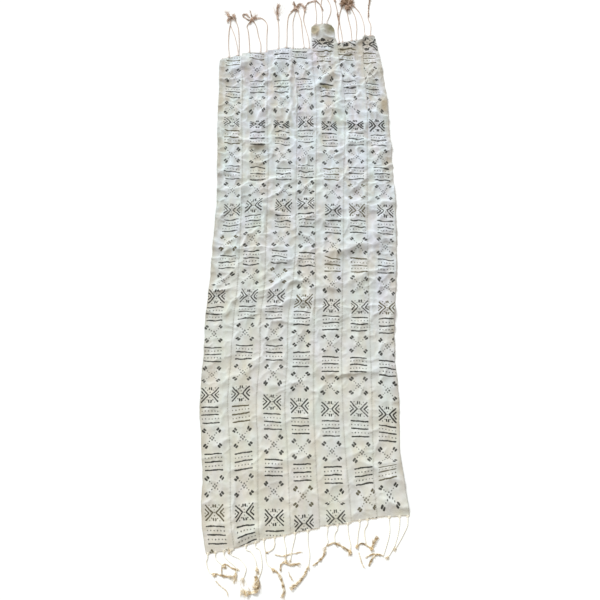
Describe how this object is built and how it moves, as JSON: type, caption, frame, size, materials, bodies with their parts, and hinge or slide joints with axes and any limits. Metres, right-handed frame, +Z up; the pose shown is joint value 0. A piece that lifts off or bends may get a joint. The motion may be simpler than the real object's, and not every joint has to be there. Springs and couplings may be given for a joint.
{
  "type": "bogolan mud cloth",
  "caption": "Strip-woven cotton cloth laid out on a floor, crumpled toward one end, with knotted cord fringe at both ends.",
  "frame": {"origin": "centre of the laid-out cloth's outline with its fringe, on the floor that it lies on", "axes": "+X across the strips, +Y along the strips toward the more crumpled end with the long tab, +Z up from the floor"},
  "size_m": [0.7009, 2.3117, 0.0128],
  "materials": {
    "woven_cotton_1": "matte hand-woven cotton",
    "woven_cotton_2": "matte hand-woven cotton",
    "woven_cotton_3": "matte hand-woven cotton",
    "woven_cotton_4": "matte hand-woven cotton",
    "woven_cotton_5": "matte hand-woven cotton",
    "woven_cotton_6": "matte hand-woven cotton",
    "woven_cotton_7": "matte hand-woven cotton",
    "twisted_cotton_far_1": "matte twisted cotton",
    "twisted_cotton_far_2": "matte twisted cotton",
    "twisted_cotton_far_3": "matte twisted cotton",
    "twisted_cotton_far_4": "matte twisted cotton",
    "twisted_cotton_far_5": "matte twisted cotton",
    "twisted_cotton_far_6": "matte twisted cotton",
    "twisted_cotton_far_7": "matte twisted cotton",
    "twisted_cotton_near_1": "matte twisted cotton",
    "twisted_cotton_near_2": "matte twisted cotton",
    "twisted_cotton_near_3": "matte twisted cotton",
    "twisted_cotton_near_4": "matte twisted cotton",
    "twisted_cotton_near_5": "matte twisted cotton",
    "twisted_cotton_near_6": "matte twisted cotton",
    "twisted_cotton_near_7": "matte twisted cotton"
  },
  "bodies": {
    "root": {"strip_1": "woven_cotton_1", "strip_2": "woven_cotton_2", "strip_3": "woven_cotton_3", "strip_4": "woven_cotton_4", "strip_5": "woven_cotton_5", "strip_6": "woven_cotton_6", "strip_7": "woven_cotton_7", "far_fringe_1": "twisted_cotton_far_1", "far_fringe_2": "twisted_cotton_far_2", "far_fringe_3": "twisted_cotton_far_3", "far_fringe_4": "twisted_cotton_far_4", "far_fringe_5": "twisted_cotton_far_5", "far_fringe_6": "twisted_cotton_far_6", "far_fringe_7": "twisted_cotton_far_7", "near_fringe_1": "twisted_cotton_near_1", "near_fringe_2": "twisted_cotton_near_2", "near_fringe_3": "twisted_cotton_near_3", "near_fringe_4": "twisted_cotton_near_4", "near_fringe_5": "twisted_cotton_near_5", "near_fringe_6": "twisted_cotton_near_6", "near_fringe_7": "twisted_cotton_near_7"}
  },
  "joints": []
}
